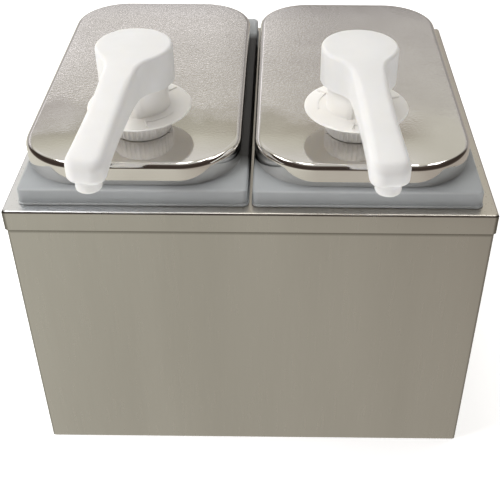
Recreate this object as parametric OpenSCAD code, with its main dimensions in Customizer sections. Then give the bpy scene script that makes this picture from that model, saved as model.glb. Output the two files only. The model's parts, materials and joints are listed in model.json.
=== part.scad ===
// Twin condiment pump dispenser: a stainless counter housing that holds two lift-out tubs,
// each with a steel lid and a push-down, swivelling sauce pump.
// Origin: centre of the base face. +Z up, the spouts point towards -Y, +X is the right-hand pump.

/* [Housing] */
// Width of the top frame
frame_w = 330; // [320:1:350]
// Depth of the top frame, front to back
frame_d = 295; // [290:1:310]
// Height of the deck above the counter
deck_h = 225; // [215:1:240]
// Thickness of the folded steel sheet
sheet_t = 0.9; // [0.8:0.1:1.2]
// Height of the top frame's skirt
skirt_h = 15; // [10:1:20]
// Outside radius of the housing's upright corners
corner_r = 2.5; // [2:0.5:4]

/* [Tubs] */
// Distance of each tub's centre from the middle of the housing
tub_x = 78.3; // [78:0.1:80]
// Width of the tub's rim
rim_w = 153.4; // [150:0.2:154]
// Depth of the tub's rim, front to back
rim_d = 277.4; // [272:0.2:280]
// Height of the rim above the deck
rim_h = 12.5; // [11:0.5:14]
// Width of the tub's mouth, over its wall
mouth_w = 138; // [134:1:139]
// Depth of the tub's mouth, over its wall
mouth_d = 256; // [250:1:257]
// How far the tub hangs below the deck
tub_drop = 190; // [180:1:200]
// Wall thickness of the tub
tub_t = 2.4; // [2:0.1:3]
// How much narrower the tub is at its floor than at its mouth
tub_taper = 7; // [4:0.5:10]

/* [Lids] */
// Width of the lid
lid_w = 148.7; // [147:0.1:149]
// Depth of the lid, front to back
lid_d = 268.4; // [266:0.1:269]
// Radius of the lid's corners in plan
lid_r = 42; // [38:1:46]
// Height of the lid's top above the deck
lid_top = 29.5; // [28:0.5:32]
// Outside radius of the bend round the lid's top edge
lid_bend = 4.5; // [3:0.5:6]
// Thickness of the lid's sheet
lid_t = 0.8; // [0.7:0.1:1]
// Distance of each lid's centre from the middle of the pair
lid_x = 78.7; // [78:0.1:79]
// How far both lids and pumps sit to the right on their tubs, negative to the left
lid_shift = -2.6; // [-3:0.1:0]
// How far both lids sit to the back on their tubs
lid_back = 1; // [0:0.1:1.5]

/* [Pumps] */
// Distance of each pump's axis from the middle of the pair
pump_x = 73.9; // [72:0.1:78]
// Distance of the pump axes behind the deck's front edge
pump_setback = 62; // [58:1:70]
// Radius of the ribbed closure nut, without its ribs
nut_r = 20.3; // [20.3:0.1:21]
// Number of grip ribs on the nut
nut_ribs = 40; // [24:2:60]
// Radius of the locking disc
disc_r = 35.5; // [33:0.5:36]
// Outside radius of the sleeve above the disc
sleeve_r = 20.3; // [20:0.1:21]
// Radius of the pump head
head_r = 25.3; // [25:0.1:26]
// Height of the head's top above the deck, released
head_top = 92; // [92:0.5:94]
// Height of the head's skirt above the deck, released
head_bottom = 67; // [66.5:0.1:67.5]
// Reach of the spout arm from the pump axis
arm_reach = 111; // [108:1:114]
// Direction of the left spout, measured from straight ahead
yaw_left = -9.5; // [-20:0.5:20]
// Direction of the right spout, measured from straight ahead
yaw_right = 7; // [-20:0.5:20]
// Direction of the left disc's first cam rib, counter-clockwise from +X
cams_left = -74; // [-180:1:180]
// Direction of the right disc's first cam rib, counter-clockwise from +X
cams_right = -98; // [-180:1:180]

/* [Hidden] */
$fn = 64;
left = -1;
right = 1;
eps = 0.01;

// Housing
shell_gap = 0.1;
shell_w = frame_w - 2 * (sheet_t + shell_gap);
shell_d = frame_d - 2 * (sheet_t + shell_gap);
top_return = 9;
panel_t = 1.2;
panel_gap = 0.3;
bottom_return = 14;
opening_gap = 1.25;
opening_collar = 9;
screw_r = 1.9;
screw_head_r = 3.6;
screw_inset = 8;
screw_top = 8;

// Tubs: heights are above the deck
rim_lift = 0.1;
rim_t = 2.2;
rim_corner = 4;
bead_h = 1.4;
bead_out = 0.7;
mouth_r = 36;
upstand_top = 19;
tub_floor = -tub_drop + tub_t;

// Lids
lid_bottom = rim_h + 0.2;
lid_under = lid_top - lid_t;
lid_hole_r = 19.3;

// Closure, from the lid upwards
gasket_t = 2;
bush_flange_r = 27;
bush_flange_t = 3;
bush_bottom = lid_under - gasket_t - bush_flange_t;
bush_top = 40;
bush_r = 18.5;
bush_bore_r = 15.9;
thread_r = 19;
thread_pitch = 4;
barrel_gasket_t = 1;
barrel_flange_bottom = bush_top + barrel_gasket_t;
barrel_flange_top = barrel_flange_bottom + 2;
barrel_flange_r = 18.6;
nut_bottom = lid_top + 0.2;
nut_bore_r = 19.2;
nut_ceiling = barrel_flange_top + 0.1;
nut_top = 46;
nut_hole_r = 16.2;
rib_out = 0.7;
disc_bottom = nut_top + 0.1;
disc_t = 1.5;
disc_top = disc_bottom + disc_t;
sleeve_t = 2;
sleeve_top = 67.9;
cam_r = 25.6;
cam_w = 1.2;
cam_h = 0.9;
cam_sweep = 50;
tick_end_r = 32.5;
key_w = 3;
key_out = 0.6;
key_turn = -8.5;

// Barrel and check valves
barrel_r = 15.5;
barrel_neck_r = 15.9;
bore_r = 14;
barrel_top = 50;
shoulder_z = -14;
chamber_r = 5.2;
chamber_wall = 2.8;
inlet_seat_z = -26;
inlet_bore_r = 3.4;
inlet_ball_r = 4.6;
seat_gap = 0.05;
inlet_ball_z = inlet_seat_z + sqrt(pow(inlet_ball_r, 2) - pow(inlet_bore_r, 2)) + seat_gap;
nipple_top = -30;
nipple_bottom = -42;
nipple_r = 4.6;
tube_r = 6.2;
tube_end = -180;
cage_t = 2;
guide_bottom = 37;
guide_bore_r = 6.2;
guide_flange_t = 1.5;

// Stem, piston and spring
stem_r = 6;
stem_bore_r = 3.2;
stem_top = 77;
stem_end = 20;
outlet_seat_z = 69;
outlet_chamber_r = 4.4;
outlet_ball_r = 3.9;
outlet_ball_z = outlet_seat_z + sqrt(pow(outlet_ball_r, 2) - pow(stem_bore_r, 2)) + seat_gap;
piston_bottom = 22;
piston_top = 34;
piston_r = bore_r - 0.05;
piston_waist_r = 12.6;
piston_lip = 3;
stem_shoulder_r = 8;
stem_snap_r = 7.2;
part_gap = 0.2;
spring_r = 10.5;
wire_r = 0.8;
spring_turns = 6;
spring_bottom = shoulder_z + cage_t;
spring_top = piston_bottom - part_gap;

// Head and spout
head_wall = 2.2;
head_round = 2.4;
head_ceiling = head_top - 2.4;
boss_r = 9;
boss_bottom = 70;
duct_r = 2.7;
duct_start = [0, 0, 82.3];
duct_bend = [0, -28, 81.9];
duct_end = [0, -101.5, 60.5];
duct_lap = 0.02;
duct_rib_w = 9;
duct_rib_bottom = 78.2;
nozzle_reach = 101.5;
nozzle_r = 8;
nozzle_bore_r = 5;
nozzle_spigot_r = 6.4;
nozzle_bottom = 46;
nozzle_top = 52.4;
nozzle_boss_r = 8.5;
nozzle_socket_top = 59;
tip_round = 5;
// Distance from the pump axis and height above the deck, along the arm's top and back along its underside
arm_top = [[10, 91.4], [26, 90], [42, 86.4], [64, 79.6], [88, 73.4], [104, 69], [arm_reach, 65]];
arm_under = [[arm_reach, 54], [106, 52.8], [88, 57.4], [64, 62], [42, 65.6], [26, 67.4], [10, 68]];
// Distance from the pump axis and half width, seen from above
arm_flare = [
    [10, 19], [22, 16.4], [27, 13.2], [34, 11.3], [64, 10.8], [88, 11.5], [arm_reach - tip_round, 12.3]
];

steel = [0.72, 0.71, 0.68];
polished = [0.8, 0.79, 0.77];
white_plastic = [0.95, 0.95, 0.93];
frosted = [0.8, 0.85, 0.88, 0.7];
seal = [0.75, 0.72, 0.66];

function axis_x(side) = side * pump_x + lid_shift;
function axis_y() = pump_setback - frame_d / 2;
function yaw(side) = side == left ? yaw_left : yaw_right;
function cams(side) = side == left ? cams_left : cams_right;

// Moves a pump part, drawn on the Z axis with heights above the deck, to its own pump
module at_pump(side) {
    translate([axis_x(side), axis_y(), deck_h]) children();
}

// The same, turned to the way that pump's spout points
module at_head(side) {
    at_pump(side) rotate(yaw(side)) children();
}

// Rounded rectangle about the origin
module rounded_rect(w, d, r) {
    square([w - 2 * r, d], center = true);
    square([w, d - 2 * r], center = true);
    for (x = [-1, 1], y = [-1, 1])
        translate([x * (w / 2 - r), y * (d / 2 - r)]) circle(r);
}

// Ring between a rounded rectangle and the same one drawn in by t
module rounded_ring(w, d, r, t) {
    difference() {
        rounded_rect(w, d, r);
        rounded_rect(w - 2 * t, d - 2 * t, max(r - t, 0.5));
    }
}

// Flat round ring from z0 to z1
module ring(r_out, r_in, z0, z1) {
    translate([0, 0, z0]) difference() {
        cylinder(r = r_out, h = z1 - z0);
        translate([0, 0, -1]) cylinder(r = r_in, h = z1 - z0 + 2);
    }
}

// Half of a section with a rounded top corner, from the axis out to half
module domed_half(half, h, f) {
    square([half - f, h]);
    square([half, h - f]);
    translate([half - f, h - f]) circle(f);
}

// Whole section with two rounded top corners
module domed_section(half, h, f) {
    domed_half(half, h, f);
    mirror([1, 0]) domed_half(half, h, f);
}

// Solid block with rounded corners r in plan and a rounded edge f round its top
module domed_block(w, d, h, r, f) {
    rotate([90, 0, 0]) linear_extrude(d - 2 * r, center = true) domed_section(w / 2, h, f);
    rotate([90, 0, 90]) linear_extrude(w - 2 * r, center = true) domed_section(d / 2, h, f);
    for (x = [-1, 1], y = [-1, 1])
        translate([x * (w / 2 - r), y * (d / 2 - r), 0]) rotate_extrude() domed_half(r, h, f);
}

// Round bar between two points
module bar(a, b, r) {
    v = b - a;
    translate(a)
        rotate([0, acos(v[2] / norm(v)), atan2(v[1], v[0])])
            cylinder(r = r, h = norm(v));
}

// ---- Housing ----

module screw_places() {
    x_far = shell_w / 2 - screw_inset;
    y_far = shell_d / 2 - screw_inset;
    for (x = [-1, 0, 1], y = [-1, 1]) translate([x * x_far * 0.9, y * y_far]) children();
    for (x = [-1, 1]) translate([x * x_far, 0]) children();
}

module housing_shell() {
    color(steel) difference() {
        union() {
            linear_extrude(deck_h - sheet_t) rounded_ring(shell_w, shell_d, corner_r, sheet_t);
            translate([0, 0, panel_t])
                linear_extrude(sheet_t) rounded_ring(shell_w, shell_d, corner_r, bottom_return);
            translate([0, 0, deck_h - 2 * sheet_t])
                linear_extrude(sheet_t) rounded_ring(shell_w, shell_d, corner_r, top_return);
        }
        screw_places() cylinder(r = screw_r + 0.1, h = screw_top);
    }
}

module deck_openings(extra) {
    for (side = [left, right]) translate([side * tub_x, 0])
        rounded_rect(mouth_w + 2 * (opening_gap + extra), mouth_d + 2 * (opening_gap + extra),
            mouth_r + opening_gap + extra);
}

module top_frame() {
    color(steel) {
        translate([0, 0, deck_h - skirt_h])
            linear_extrude(skirt_h) rounded_ring(frame_w, frame_d, corner_r, sheet_t);
        translate([0, 0, deck_h - sheet_t]) linear_extrude(sheet_t) difference() {
            rounded_rect(frame_w, frame_d, corner_r);
            deck_openings(0);
        }
        translate([0, 0, deck_h - opening_collar]) linear_extrude(opening_collar) difference() {
            deck_openings(sheet_t);
            deck_openings(0);
        }
    }
}

module base_panel() {
    w = shell_w - 2 * (sheet_t + panel_gap);
    d = shell_d - 2 * (sheet_t + panel_gap);
    color(steel) difference() {
        linear_extrude(panel_t) rounded_rect(w, d, corner_r);
        screw_places() translate([0, 0, -eps])
            cylinder(r1 = screw_head_r + 0.1, r2 = screw_r + 0.1, h = panel_t + 2 * eps);
    }
}

module base_screws() {
    color(polished) screw_places() translate([0, 0, eps]) {
        cylinder(r1 = screw_head_r, r2 = screw_r, h = panel_t);
        cylinder(r = screw_r, h = screw_top);
    }
}

// ---- Tubs and lids ----

module tub_body(inset, z_low, z_high) {
    hull() {
        translate([0, 0, z_high - eps]) linear_extrude(eps)
            rounded_rect(mouth_w - 2 * inset, mouth_d - 2 * inset, mouth_r - inset, $fn = 32);
        translate([0, 0, z_low]) linear_extrude(eps)
            rounded_rect(mouth_w - tub_taper - 2 * inset, mouth_d - tub_taper - 2 * inset,
                mouth_r - tub_taper / 2 - inset, $fn = 32);
    }
}

module tub(side) {
    skirt_top = rim_h - rim_t;
    color(frosted) translate([side * tub_x, 0, deck_h]) difference() {
        union() {
            translate([0, 0, rim_lift])
                linear_extrude(rim_h - rim_lift) rounded_ring(rim_w, rim_d, rim_corner, rim_t);
            translate([0, 0, rim_lift])
                linear_extrude(bead_h)
                    rounded_ring(rim_w + 2 * bead_out, rim_d + 2 * bead_out,
                        rim_corner + bead_out, rim_t + bead_out);
            translate([0, 0, skirt_top]) linear_extrude(rim_t) rounded_rect(rim_w, rim_d, rim_corner);
            linear_extrude(upstand_top) rounded_rect(mouth_w, mouth_d, mouth_r);
            tub_body(0, -tub_drop, eps);
        }
        translate([0, 0, -eps])
            linear_extrude(upstand_top + 1)
                rounded_rect(mouth_w - 2 * tub_t, mouth_d - 2 * tub_t, mouth_r - tub_t);
        tub_body(tub_t, tub_floor, 0);
    }
}

module lid(side) {
    h = lid_top - lid_bottom;
    centre = [side * lid_x + lid_shift, lid_back];
    hole = [axis_x(side) - centre[0], axis_y() - centre[1], -eps];
    color(polished) translate([centre[0], centre[1], deck_h + lid_bottom]) difference() {
        domed_block(lid_w, lid_d, h, lid_r, lid_bend);
        translate([0, 0, -eps])
            domed_block(lid_w - 2 * lid_t, lid_d - 2 * lid_t, h - lid_t + eps, lid_r - lid_t,
                lid_bend - lid_t);
        translate(hole) cylinder(r = lid_hole_r, h = h + 1);
    }
}

// ---- Closure ----

module neck_bush(side) {
    color(white_plastic) at_pump(side) {
        ring(bush_flange_r, bush_bore_r, bush_bottom, bush_bottom + bush_flange_t);
        ring(bush_r, bush_bore_r, bush_bottom, bush_top);
        for (z = [lid_top + 1 : thread_pitch : bush_top - 1])
            ring(thread_r, bush_bore_r, z, z + 1);
    }
}

module neck_gasket(side) {
    color(seal) at_pump(side)
        ring(bush_flange_r - 0.5, bush_r + part_gap, lid_under - gasket_t, lid_under);
}

module closure_nut(side) {
    color(white_plastic) at_pump(side) {
        ring(nut_r, nut_bore_r, nut_bottom, nut_ceiling);
        ring(nut_r, nut_hole_r, nut_ceiling, nut_top);
        for (i = [0 : nut_ribs - 1])
            rotate(360 * i / nut_ribs)
                translate([nut_r - 0.4, -0.6, nut_bottom + 0.8])
                    cube([rib_out + 0.4, 1.2, nut_top - nut_bottom - 1.6]);
    }
}

// Raised rib on the disc: an arc that starts at a short radial tick
module cam_rib() {
    z = disc_top - eps;
    translate([0, 0, z]) intersection() {
        ring(cam_r + cam_w, cam_r, 0, cam_h);
        linear_extrude(cam_h)
            polygon([[0, 0], [40, 0], [40 * cos(cam_sweep / 2), 40 * sin(cam_sweep / 2)],
                [40 * cos(cam_sweep), 40 * sin(cam_sweep)]]);
    }
    translate([cam_r, -cam_w / 2, z]) cube([tick_end_r - cam_r, cam_w, cam_h]);
}

module locking_collar(side) {
    color(white_plastic) at_pump(side) {
        ring(disc_r, barrel_neck_r, disc_bottom, disc_top);
        ring(sleeve_r, sleeve_r - sleeve_t, disc_bottom, sleeve_top);
        for (i = [0 : 2]) rotate(120 * i + cams(side)) {
            cam_rib();
            rotate(key_turn) translate([sleeve_r - 0.4, -key_w / 2, disc_top - eps])
                cube([key_out + 0.4, key_w, sleeve_top - disc_top - 4]);
        }
    }
}

// ---- Barrel and check valves ----

module barrel(side) {
    color(white_plastic) at_pump(side) difference() {
        union() {
            translate([0, 0, shoulder_z - 2])
                cylinder(r = barrel_r, h = barrel_flange_bottom - shoulder_z + 2);
            translate([0, 0, barrel_flange_bottom])
                cylinder(r = barrel_flange_r, h = barrel_flange_top - barrel_flange_bottom);
            translate([0, 0, barrel_flange_bottom])
                cylinder(r = barrel_neck_r, h = barrel_top - barrel_flange_bottom);
            translate([0, 0, nipple_top])
                cylinder(r = chamber_r + chamber_wall, h = shoulder_z - nipple_top);
            translate([0, 0, nipple_bottom]) cylinder(r = nipple_r, h = nipple_top - nipple_bottom + 1);
        }
        translate([0, 0, shoulder_z]) cylinder(r = bore_r, h = barrel_top - shoulder_z + 1);
        translate([0, 0, inlet_seat_z]) cylinder(r = chamber_r, h = shoulder_z - inlet_seat_z + 1);
        translate([0, 0, nipple_bottom - 1]) cylinder(r = inlet_bore_r, h = inlet_seat_z - nipple_bottom + 2);
    }
}

module barrel_gasket(side) {
    color(seal) at_pump(side) ring(barrel_flange_r, barrel_r + part_gap, bush_top, barrel_flange_bottom);
}

module stem_guide(side) {
    color(white_plastic) at_pump(side) {
        ring(bore_r, guide_bore_r, guide_bottom, barrel_top);
        ring(barrel_neck_r, guide_bore_r, barrel_top, barrel_top + guide_flange_t);
    }
}

// Slotted disc that keeps the inlet ball in its chamber
module ball_cage(side) {
    slot_r = 1.6;
    color(white_plastic) at_pump(side) translate([0, 0, shoulder_z]) difference() {
        cylinder(r = bore_r - part_gap, h = cage_t);
        for (i = [0 : 5]) rotate(60 * i) translate([4, 0, -1]) cylinder(r = slot_r, h = cage_t + 2);
    }
}

module inlet_ball(side) {
    color(steel) at_pump(side) translate([0, 0, inlet_ball_z]) sphere(inlet_ball_r);
}

module dip_tube(side) {
    cut = 20;
    color(frosted) at_pump(side) difference() {
        ring(tube_r, nipple_r, tube_end, nipple_top - 1);
        translate([0, 0, tube_end]) rotate([0, 45, 0]) translate([-cut, -cut / 2, -cut])
            cube([2 * cut, cut, cut]);
    }
}

// ---- Plunger ----

module piston(side) {
    color(seal) at_pump(side) {
        ring(piston_waist_r, stem_r + seat_gap, piston_bottom, piston_top);
        ring(piston_r, stem_r + seat_gap, piston_bottom, piston_bottom + piston_lip);
        ring(piston_r, stem_r + seat_gap, piston_top - piston_lip, piston_top);
    }
}

// Round wire swept along a helix with closed ends
module spring(side) {
    steps = 13;
    sides = 8;
    rise = (spring_top - spring_bottom - 2 * wire_r) / spring_turns;
    rings = spring_turns * steps;
    points = [for (i = [0 : rings], j = [0 : sides - 1])
        let (turn = 360 * i / steps, a = 360 * j / sides, r = spring_r + wire_r * cos(a))
        [r * cos(turn), r * sin(turn), spring_bottom + wire_r + rise * i / steps + wire_r * sin(a)]];
    walls = [for (i = [0 : rings - 1], j = [0 : sides - 1])
        let (k = (j + 1) % sides)
        [i * sides + j, (i + 1) * sides + j, (i + 1) * sides + k, i * sides + k]];
    first = [for (j = [0 : sides - 1]) j];
    last = [for (j = [sides - 1 : -1 : 0]) rings * sides + j];
    color(steel) at_pump(side) polyhedron(points, concat(walls, [first, last]));
}

module stem(side) {
    color(white_plastic) at_head(side) difference() {
        union() {
            translate([0, 0, stem_end]) cylinder(r = stem_r, h = stem_top - stem_end);
            translate([0, 0, piston_top + part_gap]) cylinder(r = stem_shoulder_r, h = 2);
            translate([0, 0, stem_end]) cylinder(r = stem_snap_r, h = piston_bottom - stem_end - part_gap);
        }
        translate([0, 0, stem_end - 1]) cylinder(r = stem_bore_r, h = stem_top - stem_end + 2);
        translate([0, 0, outlet_seat_z]) cylinder(r = outlet_chamber_r, h = stem_top - outlet_seat_z + 1);
    }
}

module outlet_ball(side) {
    color(steel) at_pump(side) translate([0, 0, outlet_ball_z]) sphere(outlet_ball_r);
}

// ---- Head and spout ----

// Side view of the arm, from inside the head to the tip, extruded across it
module arm_side() {
    rotate([90, 0, 90]) linear_extrude(head_r * 2, center = true)
        polygon(concat([for (p = arm_top) [-p[0], p[1]]], [for (p = arm_under) [-p[0], p[1]]]));
}

// Plan of the arm: it flares into the head and has round corners at the tip
module arm_plan() {
    tip_y = -arm_reach + tip_round;
    tip_x = arm_flare[len(arm_flare) - 1][1] - tip_round;
    linear_extrude(head_top) {
        polygon(concat([for (p = arm_flare) [p[1], -p[0]]],
            [for (i = [len(arm_flare) - 1 : -1 : 0]) [-arm_flare[i][1], -arm_flare[i][0]]]));
        translate([-tip_x, -arm_reach]) square([2 * tip_x, 2 * tip_round]);
        for (x = [-1, 1]) translate([x * tip_x, tip_y]) circle(tip_round);
    }
}

module spout_arm() {
    intersection() {
        arm_side();
        arm_plan();
    }
}

module pump_head(side) {
    color(white_plastic) at_head(side) difference() {
        union() {
            difference() {
                union() {
                    translate([0, 0, head_bottom])
                        rotate_extrude() domed_half(head_r, head_top - head_bottom, head_round);
                    spout_arm();
                    translate([0, -nozzle_reach, nozzle_top])
                        cylinder(r = nozzle_boss_r, h = nozzle_socket_top - nozzle_top);
                }
                translate([0, 0, head_bottom - 2])
                    cylinder(r = head_r - head_wall, h = head_ceiling - head_bottom + 2);
            }
            translate([0, 0, boss_bottom]) cylinder(r = boss_r, h = head_ceiling - boss_bottom + 1);
            translate([-duct_rib_w / 2, -head_r + 1, duct_rib_bottom])
                cube([duct_rib_w, head_r - 1, head_ceiling - duct_rib_bottom + 1]);
        }
        translate([0, 0, boss_bottom - 1]) cylinder(r = stem_r, h = stem_top - boss_bottom + 1);
        translate([0, 0, stem_top - 1]) cylinder(r = outlet_chamber_r, h = duct_start[2] + duct_r - stem_top + 1);
        bar(duct_start, duct_bend, duct_r);
        bar(duct_bend + duct_lap * (duct_bend - duct_end), duct_end, duct_r);
        translate([0, -nozzle_reach, nozzle_top - 1])
            cylinder(r = nozzle_spigot_r, h = nozzle_socket_top - nozzle_top + 1);
    }
}

module nozzle_tip(side) {
    color(white_plastic) at_head(side) translate([0, -nozzle_reach, 0]) {
        ring(nozzle_r, nozzle_bore_r, nozzle_bottom, nozzle_top);
        ring(nozzle_spigot_r, nozzle_bore_r, nozzle_bottom, nozzle_socket_top);
    }
}

housing_shell();
top_frame();
base_panel();
base_screws();
tub(left);  // tub_left
lid(left);  // lid_left
neck_bush(left);  // neck_bush_left
neck_gasket(left);  // neck_gasket_left
closure_nut(left);  // closure_nut_left
locking_collar(left);  // locking_collar_left
barrel(left);  // barrel_left
barrel_gasket(left);  // barrel_gasket_left
stem_guide(left);  // stem_guide_left
ball_cage(left);  // ball_cage_left
inlet_ball(left);  // inlet_ball_left
dip_tube(left);  // dip_tube_left
piston(left);  // piston_left
spring(left);  // spring_left
stem(left);  // stem_left
outlet_ball(left);  // outlet_ball_left
pump_head(left);  // pump_head_left
nozzle_tip(left);  // nozzle_tip_left
tub(right);  // tub_right
lid(right);  // lid_right
neck_bush(right);  // neck_bush_right
neck_gasket(right);  // neck_gasket_right
closure_nut(right);  // closure_nut_right
locking_collar(right);  // locking_collar_right
barrel(right);  // barrel_right
barrel_gasket(right);  // barrel_gasket_right
stem_guide(right);  // stem_guide_right
ball_cage(right);  // ball_cage_right
inlet_ball(right);  // inlet_ball_right
dip_tube(right);  // dip_tube_right
piston(right);  // piston_right
spring(right);  // spring_right
stem(right);  // stem_right
outlet_ball(right);  // outlet_ball_right
pump_head(right);  // pump_head_right
nozzle_tip(right);  // nozzle_tip_right
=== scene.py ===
import json
import math

import bmesh
import bpy
from mathutils import Matrix, Vector


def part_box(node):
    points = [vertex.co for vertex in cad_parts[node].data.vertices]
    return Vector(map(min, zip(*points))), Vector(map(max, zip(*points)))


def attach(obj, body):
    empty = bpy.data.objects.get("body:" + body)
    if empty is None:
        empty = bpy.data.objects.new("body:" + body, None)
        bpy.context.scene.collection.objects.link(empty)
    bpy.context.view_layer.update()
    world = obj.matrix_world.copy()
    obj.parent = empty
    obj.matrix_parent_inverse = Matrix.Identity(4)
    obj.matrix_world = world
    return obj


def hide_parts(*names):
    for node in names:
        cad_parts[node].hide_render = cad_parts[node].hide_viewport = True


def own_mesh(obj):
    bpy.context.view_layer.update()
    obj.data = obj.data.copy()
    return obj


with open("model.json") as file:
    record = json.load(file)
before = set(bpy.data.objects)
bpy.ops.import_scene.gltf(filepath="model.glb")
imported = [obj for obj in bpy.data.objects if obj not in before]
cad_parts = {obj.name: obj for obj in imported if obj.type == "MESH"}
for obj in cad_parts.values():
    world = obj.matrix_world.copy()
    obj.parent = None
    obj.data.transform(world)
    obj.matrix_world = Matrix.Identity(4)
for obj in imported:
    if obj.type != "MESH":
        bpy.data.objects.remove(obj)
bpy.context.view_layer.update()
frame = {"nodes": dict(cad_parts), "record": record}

MM = 0.001

# Photo camera, fitted to the housing's edges
CAMERA_PLACE = (0.02022, -0.61623, 0.56507)
CAMERA_RIGHT = (0.99994, 0.01025, 0.00337)
CAMERA_UP = (-0.00892, 0.61036, 0.79208)
CAMERA_BACK = (0.00607, -0.79206, 0.61041)
CAMERA_LENS = 63.234
CAMERA_SHIFT_X = -0.0497

# Sheet steel of the housing, and the height of the deck's skirt
SHEET_T = 0.9
SHEET_BEND = 1.7
HOUSING_CORNER = 2.5
SKIRT = 15

# Steps in each corner of a rounded rectangle, and the crease angle above which an edge stays sharp
CORNER_STEPS = 14
CREASE = 38

# Distance of each tub from the middle
TUB_X = 78.3

# Bearing of each disc's first cam rib, in degrees from +X
FIRST_CAM = {"left": -74, "right": -98}


def box_mm(node):
    """Lowest and highest corner of a CAD node, in millimetres."""
    low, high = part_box(node)
    return low / MM, high / MM


def centre_mm(node):
    """Centre of a CAD node seen from above, in millimetres."""
    low, high = box_mm(node)
    return (low.x + high.x) / 2, (low.y + high.y) / 2


# Height of the deck
DECK = box_mm("top_frame")[1].z


# ---- Mesh helpers ----

def arc(cx, cz, radius, start, end, steps):
    """Points on an arc in a profile, angles in degrees."""
    angles = [math.radians(start + (end - start) * i / steps) for i in range(steps + 1)]
    return [(cx + radius * math.cos(a), cz + radius * math.sin(a)) for a in angles]


def smoothstep(low, high, value):
    """Eases from 0 at low to 1 at high."""
    t = min(max((value - low) / (high - low), 0.0), 1.0)
    return t * t * (3 - 2 * t)


def interpolate(table, value):
    """Smooth curve through (x, y) rows, flat beyond its ends."""
    if value <= table[0][0]:
        return table[0][1]
    if value >= table[-1][0]:
        return table[-1][1]
    i = max(k for k in range(len(table) - 1) if table[k][0] <= value)
    p0 = table[max(i - 1, 0)]
    p1, p2 = table[i], table[i + 1]
    p3 = table[min(i + 2, len(table) - 1)]
    span = p2[0] - p1[0]
    m1 = span * (p2[1] - p0[1]) / (p2[0] - p0[0])
    m2 = span * (p3[1] - p1[1]) / (p3[0] - p1[0])
    t = (value - p1[0]) / span
    a = 2 * t ** 3 - 3 * t ** 2 + 1
    b = t ** 3 - 2 * t ** 2 + t
    c = -2 * t ** 3 + 3 * t ** 2
    d = t ** 3 - t ** 2
    return a * p1[1] + b * m1 + c * p2[1] + d * m2


def rounded_rect(w, d, r, steps=CORNER_STEPS, along=3):
    """Points round a rounded rectangle; the same steps give the same count and order for any size."""
    corners = [(w / 2 - r, d / 2 - r, 0), (-w / 2 + r, d / 2 - r, 90),
               (-w / 2 + r, -d / 2 + r, 180), (w / 2 - r, -d / 2 + r, 270)]
    points = []
    for k, (cx, cy, start) in enumerate(corners):
        points += arc(cx, cy, r, start, start + 90, steps)
        nx, ny, turn = corners[(k + 1) % 4]
        a = points[-1]
        b = (nx + r * math.cos(math.radians(turn)), ny + r * math.sin(math.radians(turn)))
        for i in range(1, along + 1):
            t = i / (along + 1)
            points.append((a[0] + (b[0] - a[0]) * t, a[1] + (b[1] - a[1]) * t))
    return points


def loop_at(points, z, centre=(0, 0)):
    """Flat points as a level loop at height z."""
    return [(x + centre[0], y + centre[1], z) for x, y in points]


def circle(radius, count):
    return [(radius * math.cos(2 * math.pi * i / count),
             radius * math.sin(2 * math.pi * i / count)) for i in range(count)]


class Shape:
    """Collects points and faces in millimetres."""

    def __init__(self):
        self.points = []
        self.faces = []

    def add_loop(self, loop):
        """Keeps a loop's points and returns their indices."""
        first = len(self.points)
        self.points += loop
        return list(range(first, first + len(loop)))

    def skin(self, loops, closed=False, cap_start=False, cap_end=False):
        """Joins loops of equal length and returns their indices; closed joins the last to the first."""
        rows = [self.add_loop(loop) for loop in loops]
        pairs = list(zip(rows, rows[1:]))
        if closed:
            pairs.append((rows[-1], rows[0]))
        for a, b in pairs:
            n = len(a)
            self.faces += [(a[i], a[(i + 1) % n], b[(i + 1) % n], b[i]) for i in range(n)]
        if cap_start:
            self.faces.append(tuple(rows[0]))
        if cap_end:
            self.faces.append(tuple(rows[-1]))
        return rows

    def lathe(self, profile, count, centre=(0, 0), closed=True, reach=None):
        """Turns (radius, z) points about the vertical axis; reach changes the radius with angle."""
        loops = []
        for r, z in profile:
            ring = []
            for i in range(count):
                a = 2 * math.pi * i / count
                radius = reach(r, z, a) if reach else r
                ring.append((centre[0] + radius * math.cos(a), centre[1] + radius * math.sin(a), z))
            loops.append(ring)
        self.skin(loops, closed=closed, cap_start=not closed, cap_end=not closed)

    def tube(self, path, radius):
        """Round bar along a path that stays in the YZ plane."""
        section = circle(1, 20)
        loops = []
        for i, p in enumerate(path):
            before, after = path[max(i - 1, 0)], path[min(i + 1, len(path) - 1)]
            along = Vector(after) - Vector(before)
            along.normalize()
            side = Vector((1, 0, 0))
            up = along.cross(side)
            loops.append([tuple(Vector(p) + radius * (side * x + up * y)) for x, y in section])
        self.skin(loops, cap_start=True, cap_end=True)

    def mesh(self, name, fill=()):
        """Blender mesh in metres; fill lists groups of loops that bound flat areas with holes."""
        bm = bmesh.new()
        verts = [bm.verts.new((x * MM, y * MM, z * MM)) for x, y, z in self.points]
        for face in self.faces:
            bm.faces.new([verts[i] for i in face])
        bm.edges.ensure_lookup_table()
        for group in fill:
            edges = []
            for row in group:
                for i, a in enumerate(row):
                    pair = (verts[a], verts[row[(i + 1) % len(row)]])
                    edges.append(bm.edges.get(pair) or bm.edges.new(pair))
            bmesh.ops.triangle_fill(bm, use_beauty=True, edges=edges)
        bmesh.ops.remove_doubles(bm, verts=bm.verts, dist=1e-7)
        bmesh.ops.recalc_face_normals(bm, faces=bm.faces)
        mesh = bpy.data.meshes.new(name)
        bm.to_mesh(mesh)
        bm.free()
        return mesh


def new_object(name, mesh):
    obj = bpy.data.objects.new(name, mesh)
    bpy.context.scene.collection.objects.link(obj)
    return obj


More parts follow.
